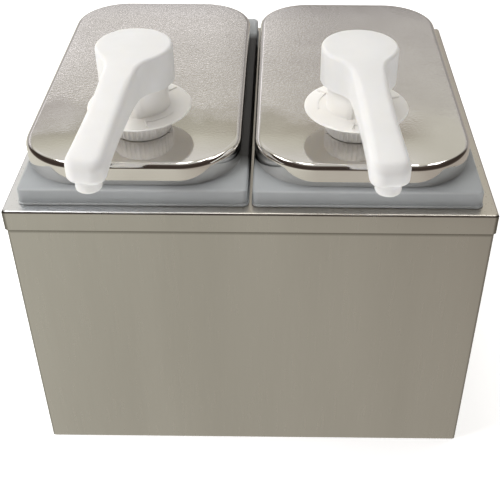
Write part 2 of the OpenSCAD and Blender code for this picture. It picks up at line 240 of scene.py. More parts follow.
def place_piece(obj, body, material, node):
    """Smooths a piece and gives it its material, the CAD node it replaces and its body."""
    obj.data.materials.clear()
    obj.data.materials.append(material)
    obj.data.shade_smooth()
    obj.data.set_sharp_from_angle(angle=math.radians(CREASE))
    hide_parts(node)
    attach(obj, body)


def apply_booleans(obj, steps):
    """Unites or cuts obj with each (operation, shape), then keeps the result as its mesh."""
    helpers = []
    for k, (operation, shape) in enumerate(steps):
        helper = new_object(f"{obj.name}_cut_{k}", shape.mesh(f"cut_{k}"))
        modifier = obj.modifiers.new(f"cut_{k}", "BOOLEAN")
        modifier.operation = operation
        modifier.solver = "EXACT"
        modifier.object = helper
        helpers.append(helper)
    bpy.context.view_layer.update()
    depsgraph = bpy.context.evaluated_depsgraph_get()
    result = bpy.data.meshes.new_from_object(obj.evaluated_get(depsgraph))
    obj.modifiers.clear()
    obj.data = result
    for helper in helpers:
        bpy.data.objects.remove(helper)


def turned(points, angle, centre):
    """Turns points about the vertical and moves them to a centre."""
    c, s = math.cos(angle), math.sin(angle)
    return [(centre[0] + x * c - y * s, centre[1] + x * s + y * c, z) for x, y, z in points]


# ---- Materials ----
# Lengths and coordinates in materials are in metres.

# Painted shade colour, for the steel's corner folds and the line under the deck's skirt
PAINTED_SHADE = (0.2, 0.19, 0.165)
# Painted shade colour of the strip between the two lids
UNLIT = (0.03, 0.03, 0.03)


def new_material(name, colour, roughness, **sockets):
    """Principled material; returns it with its node tree and shader."""
    material = bpy.data.materials.new(name)
    material.use_nodes = True
    tree = material.node_tree
    shader = tree.nodes["Principled BSDF"]
    shader.inputs["Base Color"].default_value = (*colour, 1)
    shader.inputs["Roughness"].default_value = roughness
    for socket, value in sockets.items():
        shader.inputs[socket.replace("_", " ")].default_value = value
    return material, tree, shader


def noise(tree, scale, detail, stretch=(1, 1, 1)):
    """Noise over the object's own coordinates, in cells per metre."""
    coords = tree.nodes.new("ShaderNodeTexCoord")
    mapping = tree.nodes.new("ShaderNodeMapping")
    mapping.inputs["Scale"].default_value = stretch
    texture = tree.nodes.new("ShaderNodeTexNoise")
    texture.inputs["Scale"].default_value = scale
    texture.inputs["Detail"].default_value = detail
    tree.links.new(coords.outputs["Object"], mapping.inputs["Vector"])
    tree.links.new(mapping.outputs["Vector"], texture.inputs["Vector"])
    return texture.outputs["Fac"]


def remap(tree, value, low, high, to_low, to_high):
    """Maps low..high to to_low..to_high, and keeps within them."""
    node = tree.nodes.new("ShaderNodeMapRange")
    node.inputs["From Min"].default_value = low
    node.inputs["From Max"].default_value = high
    node.inputs["To Min"].default_value = to_low
    node.inputs["To Max"].default_value = to_high
    tree.links.new(value, node.inputs["Value"])
    return node.outputs["Result"]


def feed(tree, socket, value):
    """Links an output to a socket, or sets the socket to a fixed colour or number."""
    if isinstance(value, bpy.types.NodeSocket):
        tree.links.new(value, socket)
    elif isinstance(value, tuple):
        socket.default_value = (*value, 1)
    else:
        socket.default_value = value


def mix(tree, share, first, second):
    """Mixes two colours, each an output or fixed, by a share from 0 to 1."""
    node = tree.nodes.new("ShaderNodeMix")
    node.data_type = "RGBA"
    feed(tree, node.inputs["A"], first)
    feed(tree, node.inputs["B"], second)
    tree.links.new(share, node.inputs["Factor"])
    return node.outputs["Result"]


def bump(tree, shader, height, distance, strength):
    """Bump that is distance metres deep; strength is a number, or an output that fades it."""
    node = tree.nodes.new("ShaderNodeBump")
    node.inputs["Distance"].default_value = distance
    feed(tree, node.inputs["Strength"], strength)
    tree.links.new(height, node.inputs["Height"])
    tree.links.new(node.outputs["Normal"], shader.inputs["Normal"])


def coordinate(tree, axis, magnitude=False):
    """One of the object's own coordinates, in metres; magnitude drops its sign."""
    coords = tree.nodes.new("ShaderNodeTexCoord")
    axes = tree.nodes.new("ShaderNodeSeparateXYZ")
    tree.links.new(coords.outputs["Object"], axes.inputs["Vector"])
    if not magnitude:
        return axes.outputs[axis]
    return calculate(tree, "ABSOLUTE", axes.outputs[axis])


def calculate(tree, operation, a, b=None):
    """Result of a maths operation on one or two outputs."""
    node = tree.nodes.new("ShaderNodeMath")
    node.operation = operation
    tree.links.new(a, node.inputs[0])
    if b is not None:
        tree.links.new(b, node.inputs[1])
    return node.outputs["Value"]


def crevice(tree):
    """1 in the unlit strip between the two lids, 0 elsewhere."""
    side_clear, side_dark = 0.0085, 0.0075
    front_clear, front_dark = -0.112, -0.095
    back_clear, back_dark = 0.108, 0.095
    across = remap(tree, coordinate(tree, "X", magnitude=True), side_clear, side_dark, 0, 1)
    front = remap(tree, coordinate(tree, "Y"), front_clear, front_dark, 0, 1)
    back = remap(tree, coordinate(tree, "Y"), back_clear, back_dark, 0, 1)
    return calculate(tree, "MULTIPLY", across, calculate(tree, "MULTIPLY", front, back))


def outer_edge(tree):
    """1 on the outer wall of the tubs' rims and 0 inside it."""
    side_from, side_to = 0.1535, 0.1545
    end_from, end_to = 0.1375, 0.1382
    across = remap(tree, coordinate(tree, "X", magnitude=True), side_from, side_to, 0, 1)
    along = remap(tree, coordinate(tree, "Y", magnitude=True), end_from, end_to, 0, 1)
    return calculate(tree, "MAXIMUM", across, along)


def upward(tree):
    """1 on faces that look up, 0 on walls."""
    geometry = tree.nodes.new("ShaderNodeNewGeometry")
    axes = tree.nodes.new("ShaderNodeSeparateXYZ")
    tree.links.new(geometry.outputs["Normal"], axes.inputs["Vector"])
    return axes.outputs["Z"]


def satin_steel(name="satin_steel", seam=None):
    """Rolled sheet with faint bands, fine grain, painted dark reflection on the corner folds and a painted
    reflection that pales the deck to the left.

    seam is the height, in metres, of a joint with a painted shade line below it.
    """
    material, tree, shader = new_material(name, (0.5, 0.49, 0.45), 0.3, Metallic=1.0)
    bands = remap(tree, noise(tree, 16, 2, (1, 1, 0.12)), 0.35, 0.65, 0, 1)
    wall = mix(tree, bands, (0.535, 0.52, 0.485), (0.58, 0.565, 0.53))
    # Painted reflection: faces that look up get a deck colour that pales from grey-tan to white towards the
    # left
    across = remap(tree, coordinate(tree, "X"), -0.11, 0.0, 0, 1)
    deck = mix(tree, across, (0.97, 0.98, 1.0), (0.66, 0.62, 0.56))
    tone_and_reflection = mix(tree, remap(tree, upward(tree), 0.6, 0.95, 0, 1), wall, deck)
    # Painted dark reflection along the housing's upright corner folds
    side_from, side_to = 0.1618, 0.1634
    end_from, end_to = 0.1443, 0.1459
    at_side = remap(tree, coordinate(tree, "X", magnitude=True), side_from, side_to, 0, 1)
    at_end = remap(tree, coordinate(tree, "Y", magnitude=True), end_from, end_to, 0, 1)
    shade_mask = calculate(tree, "MULTIPLY", at_side, at_end)
    if seam is not None:
        # Painted shade line just below the skirt's seam
        shade_low, shade_high, shade_most = seam - 0.0032, seam - 0.0012, 0.75
        below = remap(tree, coordinate(tree, "Z"), shade_low, shade_high, 0, shade_most)
        shade_mask = calculate(tree, "MAXIMUM", shade_mask, below)
    tree.links.new(mix(tree, shade_mask, tone_and_reflection, PAINTED_SHADE), shader.inputs["Base Color"])
    grain = noise(tree, 700, 2, (1, 1, 0.05))
    tree.links.new(remap(tree, grain, 0.3, 0.7, 0.27, 0.35), shader.inputs["Roughness"])
    bump(tree, shader, grain, 0.00002, 0.25)
    return material


def polished_steel(name="polished_steel", peel=False):
    """Mirror polish; peel adds an orange-peel texture to the faces that look up, less at the front."""
    material, tree, shader = new_material(name, (0.8, 0.78, 0.75), 0.07, Metallic=1.0)
    tone = remap(tree, noise(tree, 20, 3), 0.3, 0.7, 0, 1)
    tree.links.new(mix(tree, tone, (0.77, 0.75, 0.725), (0.84, 0.82, 0.80)),
                   shader.inputs["Base Color"])
    smear = noise(tree, 45, 4)
    tree.links.new(remap(tree, smear, 0.35, 0.7, 0.05, 0.11), shader.inputs["Roughness"])
    if peel:
        level = remap(tree, upward(tree), 0.98, 0.999, 0, 1)
        patchy = remap(tree, noise(tree, 22, 3), 0.35, 0.65, -0.02, 0.02)
        depth = calculate(tree, "ADD", coordinate(tree, "Y"), patchy)
        mask = calculate(tree, "MULTIPLY", level, remap(tree, depth, -0.075, -0.045, 0.1, 1))
        bump(tree, shader, noise(tree, 480, 3), 0.00022, mask)
    return material


def frosted_plastic():
    """Milky translucent polypropylene, with painted highlights along the rims' top edge and bead on the
    outer wall, and painted shade between the lids.
    """
    material, tree, shader = new_material("frosted_plastic", (0.78, 0.83, 0.88), 0.42, IOR=1.49,
                                          Transmission_Weight=0.45)
    cloud = remap(tree, noise(tree, 30, 3), 0.3, 0.7, 0, 1)
    milky = mix(tree, cloud, (0.60, 0.63, 0.65), (0.66, 0.69, 0.71))
    height = coordinate(tree, "Z")
    deck, brightest = DECK * MM, 0.7
    # Painted highlights on the rim's rounded top edge and on the bead
    rim = remap(tree, height, deck + 0.0108, deck + 0.012, 0, brightest)
    bead = remap(tree, height, deck + 0.002, deck + 0.0012, 0, brightest)
    painted_highlight = calculate(tree, "MULTIPLY", calculate(tree, "MAXIMUM", rim, bead), outer_edge(tree))
    highlighted = mix(tree, painted_highlight, milky, (0.86, 0.88, 0.88))
    # Painted shade in the strip between the two lids
    tree.links.new(mix(tree, crevice(tree), highlighted, UNLIT), shader.inputs["Base Color"])
    frost = noise(tree, 1100, 2)
    tree.links.new(remap(tree, frost, 0.3, 0.7, 0.36, 0.48), shader.inputs["Roughness"])
    bump(tree, shader, frost, 0.00003, 0.3)
    return material


def white_plastic(name="white_plastic", dark=(0.785, 0.785, 0.78), light=(0.825, 0.825, 0.82)):
    """Satin white moulded plastic, slightly translucent."""
    material, tree, shader = new_material(name, light, 0.36, IOR=1.49,
                                          Subsurface_Weight=0.25, Subsurface_Scale=0.004)
    shader.inputs["Subsurface Radius"].default_value = (1.0, 0.9, 0.7)
    tone = remap(tree, noise(tree, 40, 3), 0.3, 0.7, 0, 1)
    tree.links.new(mix(tree, tone, dark, light), shader.inputs["Base Color"])
    skin = noise(tree, 900, 3)
    tree.links.new(remap(tree, skin, 0.3, 0.7, 0.32, 0.42), shader.inputs["Roughness"])
    bump(tree, shader, skin, 0.00002, 0.3)
    return material


def silicone():
    """Matt grey-white rubber of the seals."""
    material, tree, shader = new_material("silicone", (0.72, 0.7, 0.66), 0.6, IOR=1.43)
    tone = remap(tree, noise(tree, 60, 3), 0.3, 0.7, 0, 1)
    tree.links.new(mix(tree, tone, (0.68, 0.66, 0.62), (0.74, 0.73, 0.69)),
                   shader.inputs["Base Color"])
    tree.links.new(remap(tree, noise(tree, 800, 2), 0.3, 0.7, 0.52, 0.66), shader.inputs["Roughness"])
    return material


STEEL = satin_steel()
# The walls' steel has a painted shade line under the deck's skirt
WALL_STEEL = satin_steel("wall_steel", seam=(DECK - SKIRT) * MM)
POLISHED = polished_steel()
LID_STEEL = polished_steel("lid_steel", peel=True)
FROSTED = frosted_plastic()
WHITE = white_plastic()
COLLAR_WHITE = white_plastic("collar_white_plastic", (0.90, 0.88, 0.84), (0.94, 0.92, 0.88))
SILICONE = silicone()


# ---- Housing ----

def swept_loops(w, d, r, profile, centre=(0, 0)):
    """One rounded rectangle for each (inset, z) of the profile; a negative inset is outside."""
    least_r = 0.35
    return [loop_at(rounded_rect(w - 2 * i, d - 2 * i, max(r - i, least_r)), z, centre)
            for i, z in profile]


def make_housing_shell():
    """Four walls of folded sheet with returns at their bottom and top edges."""
    low, high = box_mm("housing_shell")
    w, d, top = high.x - low.x, high.y - low.y, high.z
    t, bend = SHEET_T, SHEET_BEND
    panel, bottom_return, top_return = 1.2, 14, 9
    fold, fold_mid = 0.8, 0.25
    profile = arc(t / 2, t / 2, t / 2, 180, 360, 6)
    profile += [(t, panel), (bottom_return, panel), (bottom_return, panel + t), (t + fold, panel + t)]
    profile += [(t + fold_mid, panel + t + fold_mid), (t, panel + t + fold), (t, top - bend)]
    profile += arc(bend, top - bend, bend - t, 180, 90, 4)
    profile += [(top_return, top - t), (top_return, top)]
    profile += arc(bend, top - bend, bend, 90, 180, 6)
    shape = Shape()
    shape.skin(swept_loops(w, d, HOUSING_CORNER, profile), closed=True)
    obj = new_object("housing_walls", shape.mesh("housing_walls"))
    place_piece(obj, "housing", WALL_STEEL, "housing_shell")


def make_top_frame():
    """Deck with a skirt round its edge and a turned-down collar in each opening."""
    low, high = box_mm("top_frame")
    w, d, top = high.x - low.x, high.y - low.y, high.z
    t, bend = SHEET_T, SHEET_BEND
    collar = 9
    inner = bend + 1.5
    profile = [(inner, top - t)]
    profile += arc(bend, top - bend, bend - t, 90, 180, 4)
    profile += arc(t / 2, top - SKIRT + t / 2, t / 2, 360, 180, 6)
    profile += arc(bend, top - bend, bend, 180, 90, 6)
    profile += [(inner, top)]
    shape = Shape()
    rows = shape.skin(swept_loops(w, d, HOUSING_CORNER, profile))
    under, over = [rows[0]], [rows[-1]]
    opening_w, opening_d, opening_r = 140.5, 258.5, 37.25
    for x in (-TUB_X, TUB_X):
        lip = [(-bend, top)]
        lip += [(-bend + i, z) for i, z in arc(0, top - bend, bend, 90, 0, 6)][1:]
        lip += [(-0.1, top - collar), (-t + 0.1, top - collar)]
        lip += [(-bend + i, z) for i, z in arc(0, top - bend, bend - t, 0, 90, 4)]
        loops = swept_loops(opening_w, opening_d, opening_r, lip, (x, 0))
        rows = shape.skin(loops)
        over.append(rows[0])
        under.append(rows[-1])
    obj = new_object("deck_frame", shape.mesh("deck_frame", fill=(over, under)))
    place_piece(obj, "housing", STEEL, "top_frame")


# ---- Tubs and lids ----

def make_tub(side):
    """Tapered tub with a beaded rim that hangs in the deck and a raised mouth under the lid."""
    low, high = box_mm(f"tub_{side}")
    centre = centre_mm(f"tub_{side}")
    rim_w, rim_d, rim_r = 153.4, 277.4, 4.0
    mouth_w, mouth_d, mouth_r = 138.0, 256.0, 36.0
    wall, taper, rim_t, floor_round = 2.4, 7.0, 2.2, 9.0
    rim_top, rim_low, rim_edge, bead_h, bead = DECK + 12.5, DECK + 0.1, 2.0, 1.4, 0.7
    rim_under, bead_top = rim_top - rim_t, rim_low + bead_h
    levels = (DECK - 120, DECK - 60, DECK)
    mouth_top, bottom = high.z, low.z
    loops = []

    def body(inset, z, extra=0.0):
        """Adds a loop of the tapered body; inset is from its outside and extra rounds the floor."""
        share = min(max((DECK - z) / (DECK - bottom), 0.0), 1.0)
        shrink = taper * share + 2 * inset + 2 * extra
        r = mouth_r - shrink / 2
        loops.append(loop_at(rounded_rect(mouth_w - shrink, mouth_d - shrink, r), z, centre))

    def rim(inset, z):
        """Adds a loop of the rim."""
        points = rounded_rect(rim_w - 2 * inset, rim_d - 2 * inset, max(rim_r - inset, 0.6))
        loops.append(loop_at(points, z, centre))

    # Outside of the floor and wall, up to the underside of the rim
    for i, z in arc(floor_round, bottom + floor_round, floor_round, 270, 180, 7):
        body(0, z, i)
    for z in levels:
        body(0, z)
    body(0, rim_under - 1.2)
    body(-0.35, rim_under - 0.35)
    body(-1.2, rim_under)

    # Rim: down its inside, round its foot and the bead, up its outside and over the edge
    rim_profile = [(rim_t + 1.0, rim_under), (rim_t + 0.3, rim_under - 0.3), (rim_t, rim_under - 1.0)]
    rim_profile += [(rim_t, rim_low + 0.3), (rim_t - 0.3, rim_low), (-bead + 0.4, rim_low)]
    rim_profile += [(-bead + 0.1, rim_low + 0.15), (-bead, rim_low + 0.5), (-bead, bead_top - 0.45)]
    rim_profile += [(-bead + 0.15, bead_top - 0.1), (-0.25, bead_top + 0.05), (0, bead_top + 0.35)]
    rim_profile += arc(rim_edge, rim_top - rim_edge, rim_edge, 180, 90, 6)
    rim_profile += [(4.0, rim_top)]
    for i, z in rim_profile:
        rim(i, z)

    # Raised mouth, then down the inside to the floor
    body(-1.3, rim_top)
    body(-0.4, rim_top + 0.35)
    body(0, rim_top + 1.2)
    for i, z in arc(wall / 2, mouth_top - wall / 2, wall / 2, 180, 0, 8):
        body(i, z)
    for z in (rim_top, *reversed(levels)):
        body(wall, z)
    inner_round = floor_round - wall
    for i, z in arc(inner_round, bottom + wall + inner_round, inner_round, 180, 270, 7):
        body(wall, z, i)
    shape = Shape()
    shape.skin(loops, cap_start=True, cap_end=True)
    obj = new_object(f"frosted_tub_{side}", shape.mesh("frosted_tub"))
    place_piece(obj, f"tub_{side}", FROSTED, f"tub_{side}")


def make_lid(side, axis):
    """Pressed lid with a rounded edge, a slightly crowned top and a round hole for the pump."""
    low, high = box_mm(f"lid_{side}")
    centre = centre_mm(f"lid_{side}")
    w, d, r = high.x - low.x, high.y - low.y, 42.0
    bend, t, crown, crown_reach = 4.5, 0.8, 0.9, 40.0
    hole_r, top, bottom = 19.3, high.z, low.z

    def crowned(inset):
        """Drop of the top below its middle at an inset."""
        return crown * (1 - min(max((inset - bend) / (crown_reach - bend), 0.0), 1.0)) ** 2

    def ring(inset, z):
        points = rounded_rect(w - 2 * inset, d - 2 * inset, r - inset, steps=22, along=9)
        return loop_at(points, z, centre)

    steps = [bend + (crown_reach - bend) * i / 9 for i in range(1, 10)]
    outside = [ring(t * 0.5, bottom), ring(0.1, bottom + 0.1), ring(0, bottom + 0.5)]
    outside += [ring(i, z - crown) for i, z in arc(bend, top - bend, bend, 180, 90, 12)]
    outside += [ring(i, top - crowned(i)) for i in steps]
    inside = [ring(i, top - t - crowned(i)) for i in reversed(steps)]
    inside += [ring(i, z - crown) for i, z in arc(bend, top - bend, bend - t, 90, 180, 8)]
    inside += [ring(t, bottom + 0.5), ring(t - 0.1, bottom + 0.1)]
    plateau = outside[-1]

    def towards_hole(share, z):
        """Loop between the plateau's edge and the hole, point by point at the same bearing."""
        loop = []
        for x, y, _ in plateau:
            dx, dy = x - axis[0], y - axis[1]
            far = math.hypot(dx, dy)
            reach = far + (hole_r - far) * share
            loop.append((axis[0] + dx / far * reach, axis[1] + dy / far * reach, z))
        return loop

    shares = [0.25, 0.5, 0.75, 0.92, 1.0]
    middle = [towards_hole(share, top) for share in shares]
    middle += [towards_hole(share, top - t) for share in reversed(shares)]
    shape = Shape()
    shape.skin(outside + middle + inside, closed=True)
    obj = new_object(f"steel_lid_{side}", shape.mesh("steel_lid"))
    place_piece(obj, f"lid_{side}", LID_STEEL, f"lid_{side}")


# ---- Closure ----

def make_nut(side, axis):
    """Closure nut with upright ribs that fade out at both ends."""
    low, high = box_mm(f"closure_nut_{side}")
    bottom, top = low.z, high.z
    bore, hole, ceiling = 19.2, 16.2, DECK + 43.1
    outer, rib_out, ribs = 20.3, 0.7, 40
    fade_from, fade_to = 0.6, 1.8

    def reach(r, z, a):
        """Radius with the ribs added, on the outer wall only."""
        if r < outer - 0.3:
            return r
        ridge = max(math.cos(ribs * a), -0.25)
        lower = smoothstep(bottom + fade_from, bottom + fade_to, z)
        upper = 1 - smoothstep(top - fade_to, top - fade_from, z)
        return r + rib_out * (lower * upper) * max(ridge * 0.8 + 0.2, 0.0)

    profile = [(bore, bottom + 0.4), (bore + 0.4, bottom), (outer - 0.5, bottom)]
    profile += [(outer - 0.15, bottom + 0.15), (outer, bottom + 0.5)]
    profile += [(outer, bottom + z) for z in (0.9, 1.3, 1.8, 5, 10, 14.4, 15.0, 15.4)]
    profile += arc(outer - 0.8, top - 0.8, 0.8, 0, 90, 4)
    profile += [(hole, top), (hole, ceiling), (bore, ceiling)]
    shape = Shape()
    shape.lathe(profile, count=ribs * 8, centre=axis, reach=reach)
    obj = new_object(f"ribbed_nut_{side}", shape.mesh("ribbed_nut"))
    place_piece(obj, f"lid_{side}", COLLAR_WHITE, f"closure_nut_{side}")


def ramp_rib(shape, start, sweep, radius, width, z, height, place):
    """Raised arc that starts full height at a radial tick and runs down to the disc."""
    steps, sunk, shoulder, falls = 22, -0.3, 0.7, 0.8
    loops = []
    for i in range(steps + 1):
        a = start + sweep * i / steps
        h = height * (1 - falls * i / steps)
        section = [(radius, sunk), (radius, h * shoulder), (radius + width * 0.25, h),
                   (radius + width * 0.75, h), (radius + width, h * shoulder), (radius + width, sunk)]
        loops.append(place([(r * math.cos(a), r * math.sin(a), z + dz) for r, dz in section]))
    shape.skin(loops, cap_start=True, cap_end=True)


def block(shape, angle, r0, r1, half, z0, z1, place):
    """Small block from radius r0 to r1 at an angle, with its upper edges eased."""
    ease = 0.2

    def corners(a0, a1, hw, z):
        c, s = math.cos(angle), math.sin(angle)
        flat = [(a0, -hw), (a1, -hw), (a1, hw), (a0, hw)]
        return place([(x * c - y * s, x * s + y * c, z) for x, y in flat])

    shape.skin([corners(r0, r1, half, z0), corners(r0, r1, half, z1 - ease),
                corners(r0, r1 - ease, half - ease, z1)], cap_start=True, cap_end=True)


def make_collar(side, axis):
    """Disc with three raised cam ribs, and a sleeve with three keys."""
    low, _ = box_mm(f"locking_collar_{side}")
    disc_r, bore, sleeve_r, sleeve_bore = 35.5, 15.9, 20.3, 18.3
    bottom, top, sleeve_top = low.z, low.z + 1.5, DECK + 67.9
    cam_r, cam_w, cam_h, cam_sweep = 25.6, 1.2, 0.9, math.radians(50)
    tick_end, tick_half, sunk = 32.5, 0.6, 0.3
    key_out, key_half, key_turn = 0.6, 1.5, -8.5
    profile = [(bore, bottom), (disc_r - 1.2, bottom)]
    profile += arc(disc_r - 0.75, bottom + 0.75, 0.75, -90, 90, 8)
    profile += [(disc_r - 1.2, top), (sleeve_r + 1.4, top)]
    profile += arc(sleeve_r + 1.0, top + 1.0, 1.0, 270, 180, 4)
    profile += arc(sleeve_r - 0.5, sleeve_top - 0.5, 0.5, 0, 90, 3)
    profile += [(sleeve_bore + 0.3, sleeve_top), (sleeve_bore, sleeve_top - 0.3), (sleeve_bore, top)]
    profile += [(bore, top)]
    shape = Shape()
    shape.lathe(profile, count=128, centre=axis)

    def place(points):
        return turned(points, math.radians(FIRST_CAM[side]), axis)

    for i in range(3):
        angle = math.radians(120 * i)
        key_angle = math.radians(120 * i + key_turn)
        ramp_rib(shape, angle, cam_sweep, cam_r, cam_w, top, cam_h, place)
        block(shape, angle, cam_r, tick_end, tick_half, top - sunk, top + cam_h, place)
        block(shape, key_angle, sleeve_r - key_out, sleeve_r + key_out, key_half, top - sunk,
              sleeve_top - 4, place)
    obj = new_object(f"cam_collar_{side}", shape.mesh("cam_collar"))
    place_piece(obj, f"lid_{side}", COLLAR_WHITE, f"locking_collar_{side}")


def make_spring(side, axis):
    """Coil of round wire that the pump's stroke shortens from its fixed lower end."""
    low, high = box_mm(f"spring_{side}")
    coil_r, wire_r, turns, steps, sides = 10.5, 0.8, 6, 26, 12
    rise = high.z - low.z - 2 * wire_r
    loops = []
    for i in range(turns * steps + 1):
        turn = 2 * math.pi * i / steps
        c, s = math.cos(turn), math.sin(turn)
        z = low.z + wire_r + rise * i / (turns * steps)
        wire = [(coil_r + a, z + b) for a, b in circle(wire_r, sides)]
        loops.append([(axis[0] + r * c, axis[1] + r * s, h) for r, h in wire])
    shape = Shape()
    shape.skin(loops, cap_start=True, cap_end=True)
    obj = new_object(f"wire_spring_{side}", shape.mesh("wire_spring"))
    place_piece(obj, f"lid_{side}", POLISHED, f"spring_{side}")
    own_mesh(obj)


# ---- Pump head ----
# Heights here are above the deck, and distances along the arm are from the pump's axis.

HEAD_R = 25.3
HEAD_TOP = 92.0
ARM_REACH = 111.0
NOZZLE_S = 101.5
BOSS_LOW = 52.4
SPIGOT_R = 6.4
ARM_TOP = [(-30, 92), (6, 92), (10, 91.95), (18, 91.5), (26, 90.4), (42, 86.6), (64, 79.9), (88, 73.6),
           (104, 69.2), (ARM_REACH, 67)]
ARM_UNDER = [(-30, 67), (25.5, 67), (30, 67), (42, 65.6), (64, 62), (88, 57.4), (102, 53.7), (107, 53.2),
             (ARM_REACH, 54)]
ARM_HALF = [(30, 11.0), (64, 10.9), (88, 11.5), (102, 12.2), (ARM_REACH, 12.3)]
FILLET_R = 17.0
TIP_ROUND = 8.5


def head_outline():
    """Right half of the head's plan as (x, distance along the arm), from the back to the tip."""
    back_steps, fillet_steps, side_steps, tip_steps = 48, 14, 22, 16
    fillet_x = ARM_HALF[0][1] + FILLET_R
    fillet_s = math.sqrt((HEAD_R + FILLET_R) ** 2 - fillet_x ** 2)
    meet = math.atan2(fillet_x, fillet_s)
    points = []
    for i in range(back_steps):
        a = math.pi - (math.pi - meet) * i / back_steps
        points.append((HEAD_R * math.sin(a), HEAD_R * math.cos(a)))
    for i in range(fillet_steps):
        a = math.pi + math.atan2(fillet_s, fillet_x) * (1 - i / fillet_steps)
        points.append((fillet_x + FILLET_R * math.cos(a), fillet_s + FILLET_R * math.sin(a)))
    corner_s = ARM_REACH - TIP_ROUND
    for i in range(side_steps):
        s = fillet_s + (corner_s - fillet_s) * i / side_steps
        points.append((interpolate(ARM_HALF, s), s))
    half = interpolate(ARM_HALF, corner_s)
    for i in range(tip_steps + 1):
        a = math.pi / 2 * i / tip_steps
        points.append((half - TIP_ROUND * (1 - math.cos(a)), corner_s + TIP_ROUND * math.sin(a)))
    points += [((half - TIP_ROUND) * share, ARM_REACH) for share in (0.5, 0.0)]
    return points


def inward(points):
    """Unit normals of the half outline that point into the shape."""
    normals = []
    last = len(points) - 1
    for i in range(len(points)):
        if i in (0, last):
            normals.append((0.0, 1.0 if i == 0 else -1.0))
            continue
        dx = points[i + 1][0] - points[i - 1][0]
        ds = points[i + 1][1] - points[i - 1][1]
        size = math.hypot(dx, ds)
        normals.append((-ds / size, dx / size))
    return normals


def head_solid():
    """Outside of the head and arm as a closed skin with softly rounded edges."""
    outline = head_outline()
    normals = inward(outline)
    under_steps, top_steps = 5, 7

    def top_round(s):
        """Radius of the upper edge, larger along the arm."""
        return 2.4 + 3.0 * smoothstep(18, 50, s)

    def under_round(s):
        """Radius of the lower edge, larger along the arm."""
        return 0.5 + 2.7 * smoothstep(26, 45, s)

    def loop(share, under):
        """Loop round the upper or lower edge; share runs from 0 on the wall to 1 on the flat."""
        a = share * math.pi / 2
        half = []
        for (x, s), (nx, ns) in zip(outline, normals):
            radius = under_round(s) if under else top_round(s)
            inset, drop = radius * (1 - math.cos(a)), radius * (1 - math.sin(a))
            px, ps = max(x + nx * inset, 0.0), s + ns * inset
            if under:
                z = interpolate(ARM_UNDER, ps) + drop
            else:
                z = min(interpolate(ARM_TOP, ps), HEAD_TOP) - drop
            half.append((px, -ps, z))
        mirror = [(-x, y, z) for x, y, z in reversed(half[1:-1])]
        return half + mirror

    shape = Shape()
    loops = [loop(i / under_steps, True) for i in range(under_steps, -1, -1)]
    loops += [loop(i / top_steps, False) for i in range(top_steps + 1)]
    rows = shape.skin(loops)
    for row in (rows[0], rows[-1]):
        n = len(outline)
        for i in range(n - 1):
            right = (row[i], row[i + 1])
            left = (row[-i] if i else row[0], row[-i - 1] if i + 1 < n - 1 else row[i + 1])
            face = []
            for v in (right[0], right[1], left[1], left[0]):
                if v not in face:
                    face.append(v)
            shape.faces.append(tuple(face))
    return shape


def make_head(side, axis, yaw):
    """Head and spout arm, hollow under the skirt, with a stem socket and a duct to the nozzle."""
    boss_r, skirt_bore, ceiling, skirt_low = 9.0, HEAD_R - 2.2, 89.6, 60
    obj = new_object(f"spout_head_{side}", head_solid().mesh("spout_head"))

    nozzle_boss = Shape()
    out_r, inside, at_axis = 8.5, 62, 0.02
    profile = [(at_axis, inside), (out_r, inside), (out_r, BOSS_LOW + 0.5)]
    profile += [(out_r - 0.15, BOSS_LOW + 0.15), (out_r - 0.5, BOSS_LOW), (at_axis, BOSS_LOW)]
    nozzle_boss.lathe(profile, 64, (0, -NOZZLE_S), closed=False)

    hollow = Shape()
    profile = [(boss_r, skirt_low), (skirt_bore, skirt_low), (skirt_bore, ceiling - 1.2)]
    profile += [(skirt_bore - 0.35, ceiling - 0.35), (skirt_bore - 1.2, ceiling), (boss_r, ceiling)]
    hollow.lathe(profile, 96)

    duct_rib = Shape()
    rib_half, rib_near, rib_far, rib_low, rib_top = 4.5, 5, 24.1, 78.2, 90.4
    corners = [(-rib_half, -rib_far), (rib_half, -rib_far), (rib_half, -rib_near), (-rib_half, -rib_near)]
    duct_rib.skin([loop_at(corners, rib_low), loop_at(corners, rib_top)], cap_start=True, cap_end=True)

    stem_socket = Shape()
    mouth_r, mouth_top, stem_r, stem_top, bore_r, bore_top = boss_r + 0.6, 70, 6, 77, 4.4, 85
    profile = [(at_axis, skirt_low), (mouth_r, skirt_low), (mouth_r, mouth_top), (stem_r, mouth_top)]
    profile += [(stem_r, stem_top), (bore_r, stem_top), (bore_r, bore_top), (at_axis, bore_top)]
    stem_socket.lathe(profile, 64, closed=False)

    duct = Shape()
    duct_r = 2.7
    duct.tube([(0, 0, 82.3), (0, -27, 82), (0, -30, 81.4), (0, -NOZZLE_S, 60.5)], duct_r)

    nozzle_socket = Shape()
    socket_low, socket_top = 50, 59.0
    profile = [(at_axis, socket_low), (SPIGOT_R, socket_low), (SPIGOT_R, socket_top), (at_axis, socket_top)]
    nozzle_socket.lathe(profile, 64, (0, -NOZZLE_S), closed=False)

    apply_booleans(obj, [("UNION", nozzle_boss), ("DIFFERENCE", hollow), ("UNION", duct_rib),
                         ("DIFFERENCE", stem_socket), ("DIFFERENCE", duct), ("DIFFERENCE", nozzle_socket)])
    place = Matrix.Translation((axis[0] * MM, axis[1] * MM, DECK * MM)) @ Matrix.Rotation(yaw, 4, "Z")
    obj.data.transform(place)
    place_piece(obj, f"head_{side}", WHITE, f"pump_head_{side}")


